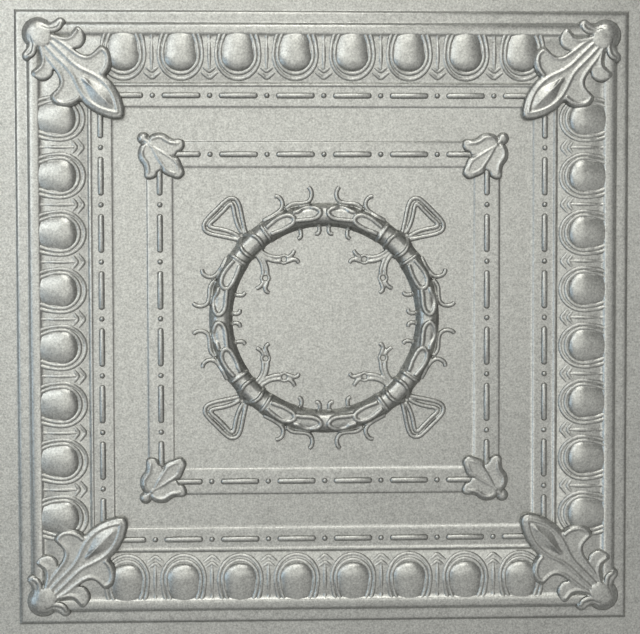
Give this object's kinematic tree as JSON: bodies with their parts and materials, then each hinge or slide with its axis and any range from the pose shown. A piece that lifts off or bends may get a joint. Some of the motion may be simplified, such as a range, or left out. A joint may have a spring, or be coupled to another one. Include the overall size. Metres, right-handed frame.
{
  "type": "foam ceiling tile",
  "caption": "Square moulded foam ceiling tile, silver painted, with an egg-and-dart border, bead-and-reel frames, corner sprays and a ribboned wreath.",
  "frame": {"origin": "centre of the flat back, at the bottom of the tile as it lies face up", "axes": "+Z out of the decorated face, +X and +Y along two of the tile's edges"},
  "size_m": [0.5, 0.5, 0.013],
  "materials": {
    "silver_foam": "satin silver paint over rigid polystyrene foam"
  },
  "bodies": {
    "root": {"ceiling_tile": "silver_foam"}
  },
  "joints": []
}
